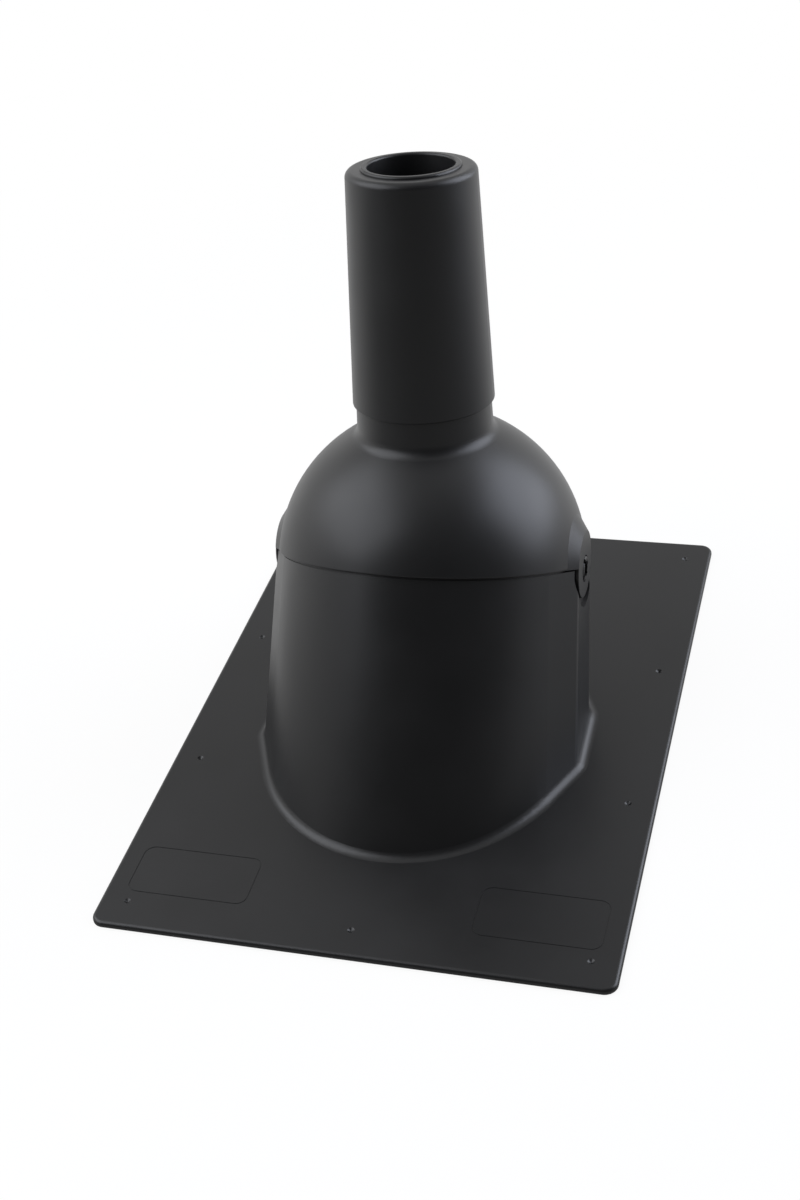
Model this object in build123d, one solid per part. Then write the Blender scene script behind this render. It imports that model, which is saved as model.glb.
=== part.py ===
"""Roof flashing for a vent pipe, moulded in three pieces: a base flashing with a leaning hollow riser,
a dome that tilts on two snap pivots to suit the roof pitch, and a tapered sleeve that slips over the neck.

Frame: origin under the middle of the base plate, +Z square to the roof, +X along the pivots, -Y downhill.
"""
import os
from math import acos, atan, cos, degrees, hypot, radians, sin, tan

from build123d import *

# Base plate, millimetres
PLATE_WIDTH = 272.0
PLATE_LENGTH = 366.0
PLATE_THICKNESS = 3.0
PLATE_CORNER_RADIUS = 7.0
PLATE_EDGE_RADIUS = 2.0

# Nail marks and bare label frames on the plate
NAIL_INSET_SIDE = 15.0
NAIL_INSET_END = 17.0
NAILS_PER_SIDE = 4
NAIL_MARK_RADIUS = 1.8
NAIL_MARK_DEPTH = 1.2
LABEL_WIDTH = 66.0
LABEL_HEIGHT = 33.0
LABEL_CORNER_RADIUS = 6.0
LABEL_SIDE_INSET = 11.0
LABEL_END_INSET = 24.0
LABEL_GROOVE_WIDTH = 0.6
LABEL_GROOVE_DEPTH = 0.2

# Roof pitches that the dome reaches, as rise over run
PITCH_LOW = 2.0 / 12.0
PITCH_HIGH = 12.0 / 12.0

# Pivot place: above the underside, and uphill of the plate's middle
PIVOT_HEIGHT = 88.5
PIVOT_OFFSET = 34.0

# Dome shell and its neck
DOME_RADIUS = 85.0
DOME_WALL = 2.0
SHELL_GAP = 0.3
RIM_RISE = 2.5
RIM_EDGE_RADIUS = 0.9
NECK_WALL = 2.5
NECK_OVERLAP = 45.0
NECK_FOOT_FILLET = 7.0

# Riser
RISER_EXTRA_LEAN = 1.5
RISER_STEP = 0.3
RISER_WALL = 2.5
RISER_DRAFT = 2.5
LEDGE_RISE = 1.5
SEAT_LATITUDE = 45.0
PAD_RISE = 1.8
PAD_HALF_WIDTH = 17.5
PAD_EDGE_RADIUS = 3.0
FOOT_FILLET = 5.5

# Ears of the dome and the split snap pivots of the riser
EAR_RADIUS = 18.5
EAR_RISE = 2.5
EAR_THICKNESS = 1.7
EAR_FLARE_ANGLE = 56.0
EAR_FLARE_DEPTH = 6.0
EAR_GAP = 0.3
EAR_EDGE_RADIUS = 0.5
POCKET_DEPTH = 1.3
POCKET_GAP = 2.5
BOSS_RADIUS = 12.0
PIN_RADIUS = 6.0
PIN_CLEARANCE = 0.08
PIN_BARB = 0.7
PIN_BARB_LENGTH = 0.5
PIN_LEAD_IN = 0.5
PIN_SLOT = 3.0
PIN_SLOT_TURN = 45.0
PIN_CORE_RADIUS = 4.2
HOLE_LAND = 0.9
HOLE_SINK_RADIUS = 7.4

# Sleeve
NECK_SHOWING = 9.5
SLEEVE_LENGTH = 123.0
SLEEVE_TOP_RADIUS = 33.4
SLEEVE_DRAFT = 2.0
SLEEVE_WALL = 1.5
SLEEVE_TOP_THICKNESS = 2.5
SLEEVE_SHOULDER_RADIUS = 3.4
SLIP_GAP = 0.3
LIP_BORE_RADIUS = 22.25
LIP_WALL = 2.2
LIP_LENGTH = 30.0
COLLAR_WIDTH = 3.4
COLLAR_RISE = 1.4
COLLAR_EDGE_RADIUS = 1.2
SLEEVE_FOOT_RADIUS = 0.5

# Nearness at which an edge counts as lying on a line or plane
ON_LINE = 0.001

# Worked out from the above
PITCH_LOW_ANGLE = degrees(atan(PITCH_LOW))
PITCH_HIGH_ANGLE = degrees(atan(PITCH_HIGH))
MIDDLE_PITCH = (PITCH_LOW_ANGLE + PITCH_HIGH_ANGLE) / 2
HALF_TILT = (PITCH_HIGH_ANGLE - PITCH_LOW_ANGLE) / 2
DOME_INNER = DOME_RADIUS - DOME_WALL
SEAT_RADIUS = DOME_INNER - SHELL_GAP
SEAT_TOP = SEAT_RADIUS * sin(radians(SEAT_LATITUDE))
RISER_LEAN = MIDDLE_PITCH + RISER_EXTRA_LEAN
RISER_TOP_RADIUS = SEAT_RADIUS + RISER_STEP
RISER_TOP = LEDGE_RISE + RISER_TOP_RADIUS * sin(radians(RISER_EXTRA_LEAN)) + RISER_WALL
RISER_DEPTH = 2 * PIVOT_HEIGHT + SEAT_RADIUS
PAD_FACE = RISER_TOP_RADIUS + PAD_RISE
POCKET_FLOOR = PAD_FACE - POCKET_DEPTH
POCKET_RADIUS = EAR_RADIUS + POCKET_GAP
EAR_INNER = POCKET_FLOOR + EAR_GAP
EAR_OUTER = EAR_INNER + EAR_THICKNESS
HOLE_RADIUS = PIN_RADIUS + PIN_CLEARANCE
SLEEVE_SLOPE = tan(radians(SLEEVE_DRAFT))
SLEEVE_BOTTOM_HEIGHT = DOME_RADIUS + NECK_SHOWING
SLEEVE_TOP_HEIGHT = SLEEVE_BOTTOM_HEIGHT + SLEEVE_LENGTH
NECK_TOP_HEIGHT = SLEEVE_BOTTOM_HEIGHT + NECK_OVERLAP
PIVOT = Vector(0, PIVOT_OFFSET, PIVOT_HEIGHT)

# The riser leans uphill, a little past the middle of the pitch range; the dome stands at its lowest pitch.
# Both frames have their origin on the pivot axis, with +Z along the lean.
RISER_FRAME = Location(PIVOT) * Rot(X=-RISER_LEAN)
DOME_FRAME = Location(PIVOT) * Rot(X=-PITCH_LOW_ANGLE)

# Takes a form from the +X side to the -X side
HALF_TURN = Rot(Z=180)


def sleeve_radius(height):
    """Outer radius of the sleeve at a height over the pivot, along the neck."""
    return SLEEVE_TOP_RADIUS + (SLEEVE_TOP_HEIGHT - height) * SLEEVE_SLOPE


def neck_radius(height):
    """Outer radius of the neck, which has the sleeve's taper."""
    return sleeve_radius(height) - SLEEVE_WALL - SLIP_GAP


def disc(radius, start, end):
    """Cylinder along +X between two distances from the middle."""
    return Pos(start, 0, 0) * Rot(Y=90) * Cylinder(
        radius, end - start, align=(Align.CENTER, Align.CENTER, Align.MIN)
    )


def ball(radius):
    """Sphere with its seam turned away from the pivots."""
    return Rot(Z=90) * Sphere(radius)


def space_beside(height, tilt, side):
    """Everything over or under a plane that is raised by a height, then tilted about the pivot axis."""
    size = 4 * DOME_RADIUS
    return Rot(X=tilt) * Pos(0, 0, height) * Box(size, size, size, align=(Align.CENTER, Align.CENTER, side))


def ring_edges(solid, *places):
    """Circular edges round Z that lie nearest to the given (radius, height) places."""
    circles = solid.edges().filter_by(GeomType.CIRCLE)
    return [
        min(circles, key=lambda edge: abs(edge.radius - radius) + abs(edge.arc_center.Z - height))
        for radius, height in places
    ]


def turned(*points):
    """Solid of revolution about Z from an outline of (radius, height) points."""
    face = make_face(Polyline(*[(radius, 0, height) for radius, height in points], close=True))
    return revolve(face, Axis.Z)


def riser_section():
    """Cross-section at the riser's top: a round, a flat pad on each side, and flanks tangent to the round."""
    turn = atan(PAD_HALF_WIDTH / PAD_FACE) + acos(RISER_TOP_RADIUS / hypot(PAD_FACE, PAD_HALF_WIDTH))
    x = RISER_TOP_RADIUS * cos(turn)
    y = RISER_TOP_RADIUS * sin(turn)
    outline = []
    for side in (-1, 1):
        face = side * PAD_FACE
        outline.append(Line((face, -PAD_HALF_WIDTH), (face, PAD_HALF_WIDTH)))
        outline.append(Line((face, PAD_HALF_WIDTH), (side * x, y)))
        outline.append(Line((face, -PAD_HALF_WIDTH), (side * x, -y)))
        outline.append(ThreePointArc((-x, side * y), (0, side * RISER_TOP_RADIUS), (x, side * y)))
    section = make_face(outline)
    corners = [corner for corner in section.vertices() if abs(corner.Y) < (PAD_HALF_WIDTH + y) / 2]
    return fillet(corners, PAD_EDGE_RADIUS)


def riser_wall(section):
    """Solid that widens downward from a cross-section at the riser's top, cut to the ledge under the rim."""
    wall = extrude(Pos(0, 0, RISER_TOP) * section, amount=RISER_DEPTH, dir=(0, 0, -1), taper=-RISER_DRAFT)
    return wall - space_beside(LEDGE_RISE, RISER_EXTRA_LEAN, Align.MIN)


def plate_blank():
    """Flat plate with round corners and a rounded upper edge."""
    outline = RectangleRounded(PLATE_WIDTH, PLATE_LENGTH, PLATE_CORNER_RADIUS)
    plate = extrude(outline, PLATE_THICKNESS)
    upper_edges = plate.faces().sort_by(Axis.Z)[-1].edges()
    return fillet(upper_edges, PLATE_EDGE_RADIUS)


def nail_marks():
    """Shallow pointed marks along the plate's sides, and one in the middle of each end."""
    side = PLATE_WIDTH / 2 - NAIL_INSET_SIDE
    end = PLATE_LENGTH / 2 - NAIL_INSET_END
    spacing = 2 * end / (NAILS_PER_SIDE - 1)
    places = [(x, -end + spacing * row) for x in (-side, side) for row in range(NAILS_PER_SIDE)]
    places += [(0, -end), (0, end)]
    mark = Cone(0, NAIL_MARK_RADIUS, NAIL_MARK_DEPTH, align=(Align.CENTER, Align.CENTER, Align.MAX))
    return [Pos(x, y, PLATE_THICKNESS) * mark for x, y in places]


def label_frames():
    """Fine grooves that frame a bare label on each side of the plate's lower end."""
    x = PLATE_WIDTH / 2 - LABEL_SIDE_INSET - LABEL_WIDTH / 2
    y = -PLATE_LENGTH / 2 + LABEL_END_INSET + LABEL_HEIGHT / 2
    frame = RectangleRounded(LABEL_WIDTH, LABEL_HEIGHT, LABEL_CORNER_RADIUS) - RectangleRounded(
        LABEL_WIDTH - 2 * LABEL_GROOVE_WIDTH,
        LABEL_HEIGHT - 2 * LABEL_GROOVE_WIDTH,
        LABEL_CORNER_RADIUS - LABEL_GROOVE_WIDTH,
    )
    groove = extrude(frame, LABEL_GROOVE_DEPTH)
    floor = PLATE_THICKNESS - LABEL_GROOVE_DEPTH
    return [Pos(side * x, y, floor) * groove for side in (-1, 1)]


def snap_pin():
    """Split snap pivot along +X: a shaft with a barbed, tapered end, cut crosswise into four prongs."""
    barb_start = EAR_INNER + HOLE_LAND + EAR_GAP
    barb_end = barb_start + PIN_BARB_LENGTH
    tip = barb_end + PIN_LEAD_IN
    root = SEAT_RADIUS - RISER_WALL / 2
    outline = Polyline(
        (root, 0, 0), (root, PIN_RADIUS, 0), (barb_start, PIN_RADIUS, 0),
        (barb_start, PIN_RADIUS + PIN_BARB, 0), (barb_end, PIN_RADIUS + PIN_BARB, 0),
        (tip, PIN_RADIUS, 0), (tip, 0, 0), close=True,
    )
    pin = revolve(make_face(outline), Axis.X)
    reach = tip - POCKET_FLOOR
    width = 2 * (PIN_RADIUS + PIN_BARB)
    slot = Pos(POCKET_FLOOR + reach / 2, 0, 0) * Rot(X=PIN_SLOT_TURN) * Box(reach, PIN_SLOT, width)
    return pin - slot - Rot(X=90) * slot - disc(PIN_CORE_RADIUS, POCKET_FLOOR, tip)


def on_foot(edge):
    """True for an edge of the line where the riser meets the plate."""
    box = edge.bounding_box()
    off_plate = max(abs(box.min.Z - PLATE_THICKNESS), abs(box.max.Z - PLATE_THICKNESS))
    middle = edge @ 0.5
    beside = PLATE_WIDTH / 2 - abs(middle.X)
    beyond = PLATE_LENGTH / 2 - abs(middle.Y)
    return off_plate < ON_LINE and min(beside, beyond) > PLATE_CORNER_RADIUS


def base_flashing():
    """Plate, hollow leaning riser with its round seat, and a pivot in a round pocket on each side."""
    over_plate = Pos(0, 0, PLATE_THICKNESS / 2) * Box(
        PLATE_WIDTH, PLATE_LENGTH, 4 * PIVOT_HEIGHT, align=(Align.CENTER, Align.CENTER, Align.MIN)
    )
    seat = ball(SEAT_RADIUS) - space_beside(SEAT_TOP, 0, Align.MIN)
    riser = riser_wall(riser_section()) + seat + disc(BOSS_RADIUS, -PAD_FACE, PAD_FACE)
    base = plate_blank() + ((RISER_FRAME * riser) & over_plate)
    base = fillet([edge for edge in base.edges() if on_foot(edge)], FOOT_FILLET)
    hollow = riser_wall(Circle(RISER_TOP_RADIUS - RISER_WALL)) + ball(SEAT_RADIUS - RISER_WALL)
    base -= RISER_FRAME * hollow
    pocket = disc(POCKET_RADIUS, POCKET_FLOOR, 2 * DOME_RADIUS)
    for side in (RISER_FRAME, RISER_FRAME * HALF_TURN):
        base -= side * pocket
        base += side * snap_pin()
    for mark in nail_marks() + label_frames():
        base -= mark
    return base


def neck_form(inset):
    """Tapered solid from the pivot to the neck's top, drawn in by an inset from the outside."""
    foot = neck_radius(0) - inset
    head = neck_radius(NECK_TOP_HEIGHT) - inset
    return turned((0, 0), (foot, 0), (head, NECK_TOP_HEIGHT), (0, NECK_TOP_HEIGHT))


def on_rim(edge):
    """True for an outer edge of the dome's rim: an arc on the ball, in one of the two rim planes."""
    middle = edge @ 0.5
    off_ball = abs(middle.length - DOME_RADIUS)
    off_plane = abs(edge.arc_center.length - RIM_RISE)
    return max(off_ball, off_plane) < ON_LINE


def ear(under_rim):
    """Ear at the +X pivot: a round tab that hangs under the rim, flared into the shell over it."""
    middle = Pos(0, 0, EAR_RISE)
    tab = middle * disc(EAR_RADIUS, EAR_INNER, EAR_OUTER)
    tab = fillet(tab.faces().sort_by(Axis.X)[-1].edges(), EAR_EDGE_RADIUS)
    flare_foot = EAR_RADIUS + EAR_FLARE_DEPTH * tan(radians(EAR_FLARE_ANGLE))
    flare = middle * Pos(EAR_OUTER - EAR_FLARE_DEPTH, 0, 0) * Rot(Y=90) * Cone(
        flare_foot, EAR_RADIUS, EAR_FLARE_DEPTH, align=(Align.CENTER, Align.CENTER, Align.MIN)
    )
    return tab + (flare - ball(DOME_INNER) - under_rim)


def dome():
    """Ball shell with a tapered neck on top and a pierced ear at each pivot.

    Its rim is cut to two planes, so that the rim clears the riser's foot at either end of the tilt.
    """
    under_rim = space_beside(RIM_RISE, -HALF_TILT, Align.MAX) + space_beside(RIM_RISE, HALF_TILT, Align.MAX)
    outer = ball(DOME_RADIUS) + neck_form(0)
    circles = outer.edges().filter_by(GeomType.CIRCLE)
    neck_foot = [edge for edge in circles if DOME_RADIUS / 2 < edge.arc_center.Z < DOME_RADIUS]
    outer = fillet(neck_foot, NECK_FOOT_FILLET)
    hollow = ball(DOME_INNER) + neck_form(NECK_WALL)
    shell = outer - hollow - under_rim
    rim = [edge for edge in shell.edges().filter_by(GeomType.CIRCLE) if on_rim(edge)]
    shell = fillet(rim, RIM_EDGE_RADIUS)
    cut = disc(BOSS_RADIUS + SHELL_GAP, 0, EAR_INNER)
    cut += disc(HOLE_RADIUS, 0, EAR_OUTER)
    cut += disc(HOLE_SINK_RADIUS, EAR_INNER + HOLE_LAND, EAR_OUTER)
    body = shell + ear(under_rim) + HALF_TURN * ear(under_rim)
    return DOME_FRAME * (body - cut - HALF_TURN * cut)


def sleeve():
    """Tapered tube with a closed annular top, a raised collar round the bore and an inner lip."""
    top = SLEEVE_TOP_HEIGHT
    bottom = SLEEVE_BOTTOM_HEIGHT
    under_top = top - SLEEVE_TOP_THICKNESS
    lip_outer = LIP_BORE_RADIUS + LIP_WALL
    lip_end = under_top - LIP_LENGTH
    collar = LIP_BORE_RADIUS + COLLAR_WIDTH
    body = turned(
        (sleeve_radius(bottom), bottom), (SLEEVE_TOP_RADIUS, top),
        (collar, top), (collar, top + COLLAR_RISE), (LIP_BORE_RADIUS, top + COLLAR_RISE),
        (LIP_BORE_RADIUS, lip_end), (lip_outer, lip_end),
        (lip_outer, under_top), (sleeve_radius(under_top) - SLEEVE_WALL, under_top),
        (sleeve_radius(bottom) - SLEEVE_WALL, bottom),
    )
    body = fillet(ring_edges(body, (SLEEVE_TOP_RADIUS, top)), SLEEVE_SHOULDER_RADIUS)
    collar_edges = ring_edges(body, (collar, top + COLLAR_RISE), (LIP_BORE_RADIUS, top + COLLAR_RISE))
    body = fillet(collar_edges, COLLAR_EDGE_RADIUS)
    body = fillet(ring_edges(body, (sleeve_radius(bottom), bottom)), SLEEVE_FOOT_RADIUS)
    return DOME_FRAME * body


if __name__ == "__main__":
    os.makedirs("parts", exist_ok=True)
    for name, piece in (("base_flashing", base_flashing()), ("dome", dome()), ("sleeve", sleeve())):
        export_step(piece, f"parts/{name}.step")
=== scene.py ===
"""Looks of an adjustable roof flashing for a vent pipe: satin black thermoplastic in a white studio."""
from math import radians

import bpy
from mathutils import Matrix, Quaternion, Vector

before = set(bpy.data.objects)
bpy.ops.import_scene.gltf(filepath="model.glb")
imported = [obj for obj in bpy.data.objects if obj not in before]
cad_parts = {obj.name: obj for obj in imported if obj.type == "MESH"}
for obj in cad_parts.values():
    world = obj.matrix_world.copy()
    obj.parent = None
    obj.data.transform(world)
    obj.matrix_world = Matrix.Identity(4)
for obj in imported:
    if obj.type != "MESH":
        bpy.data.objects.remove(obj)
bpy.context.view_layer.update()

MILLIMETRE = 0.001
WHITE = "#ffffff"

# Camera, in millimetres and degrees, for a frame of 800 by 1200
CAMERA_PLACE = (248.0, -738.0, 663.2)
CAMERA_AIM = (-15.65, 15.2, 71.54)
CAMERA_ROLL = -7.28
CAMERA_LENS = 53.75
SENSOR_HEIGHT = 36.0

# Moulded thermoplastic, sizes in millimetres
DARK_BLACK = "#111112"
PALE_BLACK = "#161617"
PLASTIC_IOR = 1.49
FLOW_MARK_SIZE = 45.0
FLOW_MARK_DETAIL = 3.0
FLOW_MARK_SPAN = (0.3, 0.7)
# The real grain is about 0.15 mm, too fine for the render, so it is drawn at 0.6 mm.
GRAIN_SIZE = 0.6
GRAIN_DETAIL = 2.0
GRAIN_STRENGTH = 0.06
GRAIN_HEIGHT = 0.1
BASE_ROUGHNESS = (0.32, 0.39)
DOME_ROUGHNESS = (0.36, 0.43)
SLEEVE_ROUGHNESS = (0.37, 0.44)

# Floor, in metres
FLOOR_SIZE = 12.0
FLOOR_DROP = 0.0004
FLOOR_GLOW = 0.9
SHADOW_REACH = (0.35, 0.9)
PAPER_COLOUR = "#f4f4f4"
# Painted shade on the floor for bounced light and reflections: grey at the front, near white at the rear
FLOOR_FRONT_COLOUR = "#a8a8a8"
FLOOR_REAR_COLOUR = "#fafafa"
FLOOR_BLEND = (-0.30, 0.05)

# Softboxes, in metres, degrees and watts
LIGHT_AIM = (0.0, 0.03, 0.12)
LIGHT_DISTANCE = 1.5
LEFT_LIGHT_SIZE = (1.8, 1.25)
LEFT_LIGHT_TURN = -72.0
LEFT_LIGHT_RISE = 43.0
LEFT_LIGHT_POWER = 18.0
LEFT_LIGHT_COLOUR = "#f5f8ff"
RIGHT_LIGHT_SIZE = (1.3, 1.3)
RIGHT_LIGHT_TURN = 118.0
RIGHT_LIGHT_RISE = 26.0
RIGHT_LIGHT_POWER = 20.5
RIGHT_LIGHT_COLOUR = "#eaf0ff"

# Room that the part reflects: dark on the side the photograph is taken from, with a white backdrop low down
# behind the part. The blends are spans of a direction's rise and of its share towards the front.
ROOM_FRONT = (0.33, -0.944, 0.0)
ROOM_FRONT_STRENGTH = 0.10
ROOM_HIGH_STRENGTH = 0.63
BACKDROP_STRENGTH = 1.0
BACKDROP_BLEND = (0.25, 0.65)
FRONT_BLEND = (-0.3, 0.7)


def linear(hex_colour):
    """Linear RGBA of an sRGB hex colour."""
    channels = [int(hex_colour[i:i + 2], 16) / 255 for i in (1, 3, 5)]
    return [c / 12.92 if c <= 0.04045 else ((c + 0.055) / 1.055) ** 2.4 for c in channels] + [1.0]


def per_metre(size_mm):
    """Texture scale that gives a pattern features of a real size in millimetres."""
    return 1.0 / (size_mm * MILLIMETRE)


def add_node(tree, kind, inputs=None, **settings):
    """Adds a node, sets its properties, and fills its inputs with values or with other nodes' outputs."""
    node = tree.nodes.new(kind)
    for name, value in settings.items():
        setattr(node, name, value)
    for name, value in (inputs or {}).items():
        if isinstance(value, bpy.types.NodeSocket):
            tree.links.new(value, node.inputs[name])
        else:
            node.inputs[name].default_value = value
    return node


def new_material(name):
    """Material with an empty node tree."""
    material = bpy.data.materials.new(name)
    material.use_nodes = True
    material.node_tree.nodes.clear()
    return material, material.node_tree


def moulded_thermoplastic(name, roughness_span):
    """Injection-moulded black polypropylene with a satin skin.

    The eye sees an almost even black, soft reflections that break up a little over the faint flow marks,
    and a fine spark-eroded grain.
    """
    material, tree = new_material(name)
    place = add_node(tree, "ShaderNodeTexCoord").outputs["Object"]
    flow = add_node(tree, "ShaderNodeTexNoise", {
        "Vector": place, "Scale": per_metre(FLOW_MARK_SIZE), "Detail": FLOW_MARK_DETAIL}).outputs["Fac"]
    grain = add_node(tree, "ShaderNodeTexNoise", {
        "Vector": place, "Scale": per_metre(GRAIN_SIZE), "Detail": GRAIN_DETAIL}).outputs["Fac"]
    colour = add_node(tree, "ShaderNodeMix", {
        "Factor": flow, "A": linear(DARK_BLACK), "B": linear(PALE_BLACK)}, data_type="RGBA")
    roughness = add_node(tree, "ShaderNodeMapRange", {
        "Value": flow, "From Min": FLOW_MARK_SPAN[0], "From Max": FLOW_MARK_SPAN[1],
        "To Min": roughness_span[0], "To Max": roughness_span[1]})
    bump = add_node(tree, "ShaderNodeBump", {
        "Height": grain, "Strength": GRAIN_STRENGTH, "Distance": GRAIN_HEIGHT * MILLIMETRE})
    shader = add_node(tree, "ShaderNodeBsdfPrincipled", {
        "Base Color": colour.outputs["Result"], "Roughness": roughness.outputs["Result"],
        "Normal": bump.outputs["Normal"], "IOR": PLASTIC_IOR})
    add_node(tree, "ShaderNodeOutputMaterial", {"Surface": shader.outputs["BSDF"]})
    return material


def dress(node, material):
    """Gives a CAD node its finish."""
    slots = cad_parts[node].data.materials
    slots.clear()
    slots.append(material)


def floor_paper():
    """White paper that keeps the part's soft shadow and fades to plain white further out.

    Its colour for light bounced off it and for reflections of it is a painted shade, greyer towards the
    room's dark front.
    """
    material, tree = new_material("white_floor")
    place = add_node(tree, "ShaderNodeTexCoord").outputs["Object"]
    ahead = add_node(tree, "ShaderNodeVectorMath", {0: place, 1: ROOM_FRONT}, operation="DOT_PRODUCT")
    nearness = add_node(tree, "ShaderNodeMapRange", {
        "Value": ahead.outputs["Value"], "From Min": FLOOR_BLEND[0], "From Max": FLOOR_BLEND[1]})
    # Painted shade: the floor's colour turns greyer towards the room's dark front
    shade = add_node(tree, "ShaderNodeMix", {
        "Factor": nearness.outputs["Result"], "A": linear(FLOOR_REAR_COLOUR),
        "B": linear(FLOOR_FRONT_COLOUR)}, data_type="RGBA").outputs["Result"]
    path = add_node(tree, "ShaderNodeLightPath").outputs
    mirrored = add_node(tree, "ShaderNodeMath", {
        0: path["Is Glossy Ray"], 1: path["Is Transmission Ray"]}, operation="MAXIMUM").outputs["Value"]
    table = add_node(tree, "ShaderNodeBsdfDiffuse", {"Color": shade}).outputs["BSDF"]
    # For glossy and transmission rays the floor glows with this painted shade
    mirror_glow = add_node(tree, "ShaderNodeEmission", {"Color": shade}).outputs["Emission"]
    unseen = add_node(tree, "ShaderNodeMixShader", {0: mirrored, 1: table, 2: mirror_glow})
    distance = add_node(tree, "ShaderNodeVectorMath", {0: place}, operation="LENGTH")
    whiteness = add_node(tree, "ShaderNodeMapRange", {
        "Value": distance.outputs["Value"], "From Min": SHADOW_REACH[0], "From Max": SHADOW_REACH[1],
        "To Min": FLOOR_GLOW, "To Max": 1.0}, interpolation_type="SMOOTHSTEP").outputs["Result"]
    paper = add_node(tree, "ShaderNodeBsdfDiffuse", {"Color": linear(PAPER_COLOUR)}).outputs["BSDF"]
    glow = add_node(tree, "ShaderNodeEmission", {"Color": linear(WHITE)}).outputs["Emission"]
    seen = add_node(tree, "ShaderNodeMixShader", {0: whiteness, 1: paper, 2: glow})
    surface = add_node(tree, "ShaderNodeMixShader", {
        0: path["Is Camera Ray"], 1: unseen.outputs["Shader"], 2: seen.outputs["Shader"]})
    add_node(tree, "ShaderNodeOutputMaterial", {"Surface": surface.outputs["Shader"]})
    return material


def white_floor():
    """Plain floor just under the part."""
    bpy.ops.object.select_all(action="DESELECT")
    bpy.ops.mesh.primitive_plane_add(size=FLOOR_SIZE, location=(0, 0, -FLOOR_DROP))
    floor = bpy.context.object
    floor.name = "floor"
    floor.data.materials.append(floor_paper())


def studio_world():
    """White for the camera; for the part a room with a dark front and a white backdrop behind."""
    world = bpy.data.worlds.new("studio")
    bpy.context.scene.world = world
    world.use_nodes = True
    tree = world.node_tree
    tree.nodes.clear()
    way = add_node(tree, "ShaderNodeTexCoord").outputs["Generated"]
    rise = add_node(tree, "ShaderNodeSeparateXYZ", {"Vector": way}).outputs["Z"]
    rear = add_node(tree, "ShaderNodeMapRange", {
        "Value": rise, "From Min": BACKDROP_BLEND[0], "From Max": BACKDROP_BLEND[1],
        "To Min": BACKDROP_STRENGTH, "To Max": ROOM_HIGH_STRENGTH}, interpolation_type="SMOOTHSTEP")
    ahead = add_node(tree, "ShaderNodeVectorMath", {0: way, 1: ROOM_FRONT}, operation="DOT_PRODUCT")
    strength = add_node(tree, "ShaderNodeMapRange", {
        "Value": ahead.outputs["Value"], "From Min": FRONT_BLEND[0], "From Max": FRONT_BLEND[1],
        "To Min": rear.outputs["Result"], "To Max": ROOM_FRONT_STRENGTH}, interpolation_type="SMOOTHSTEP")
    room = add_node(tree, "ShaderNodeBackground", {
        "Color": linear(WHITE), "Strength": strength.outputs["Result"]}).outputs["Background"]
    backdrop = add_node(tree, "ShaderNodeBackground", {"Color": linear(WHITE)}).outputs["Background"]
    path = add_node(tree, "ShaderNodeLightPath").outputs
    seen = add_node(tree, "ShaderNodeMixShader", {0: path["Is Camera Ray"], 1: room, 2: backdrop})
    add_node(tree, "ShaderNodeOutputWorld", {"Surface": seen.outputs["Shader"]})


def soft_light(name, turn, rise, size, power, colour):
    """Rectangular softbox that faces the part, at a turn from straight in front and a rise over the floor."""
    away = Vector((0, -LIGHT_DISTANCE, 0))
    away.rotate(Quaternion((1, 0, 0), radians(-rise)))
    away.rotate(Quaternion((0, 0, 1), radians(turn)))
    lamp = bpy.data.lights.new(name, "AREA")
    lamp.shape = "RECTANGLE"
    lamp.size, lamp.size_y = size
    lamp.energy = power
    lamp.color = linear(colour)[:3]
    light = bpy.data.objects.new(name, lamp)
    light.location = Vector(LIGHT_AIM) + away
    light.rotation_euler = (-away).to_track_quat("-Z", "Y").to_euler()
    bpy.context.scene.collection.objects.link(light)


def studio_lights():
    """A large softbox on each side: the left one high and a little in front, the right one behind."""
    soft_light("left_softbox", LEFT_LIGHT_TURN, LEFT_LIGHT_RISE,
               LEFT_LIGHT_SIZE, LEFT_LIGHT_POWER, LEFT_LIGHT_COLOUR)
    soft_light("right_softbox", RIGHT_LIGHT_TURN, RIGHT_LIGHT_RISE,
               RIGHT_LIGHT_SIZE, RIGHT_LIGHT_POWER, RIGHT_LIGHT_COLOUR)


def photo_camera():
    """Camera at the photograph's viewing angle."""
    data = bpy.data.cameras.new("camera")
    data.sensor_fit = "VERTICAL"
    data.sensor_height = SENSOR_HEIGHT
    data.lens = CAMERA_LENS
    camera = bpy.data.objects.new("camera", data)
    place = Vector(CAMERA_PLACE) * MILLIMETRE
    look = Vector(CAMERA_AIM) * MILLIMETRE - place
    turn = look.to_track_quat("-Z", "Y") @ Quaternion((0, 0, 1), radians(CAMERA_ROLL))
    camera.location = place
    camera.rotation_euler = turn.to_euler()
    bpy.context.scene.collection.objects.link(camera)
    bpy.context.scene.camera = camera


dress("base_flashing", moulded_thermoplastic("base_thermoplastic", BASE_ROUGHNESS))
dress("dome", moulded_thermoplastic("dome_thermoplastic", DOME_ROUGHNESS))
dress("sleeve", moulded_thermoplastic("sleeve_thermoplastic", SLEEVE_ROUGHNESS))

white_floor()
studio_world()
studio_lights()
photo_camera()
bpy.context.scene.view_settings.view_transform = "Standard"
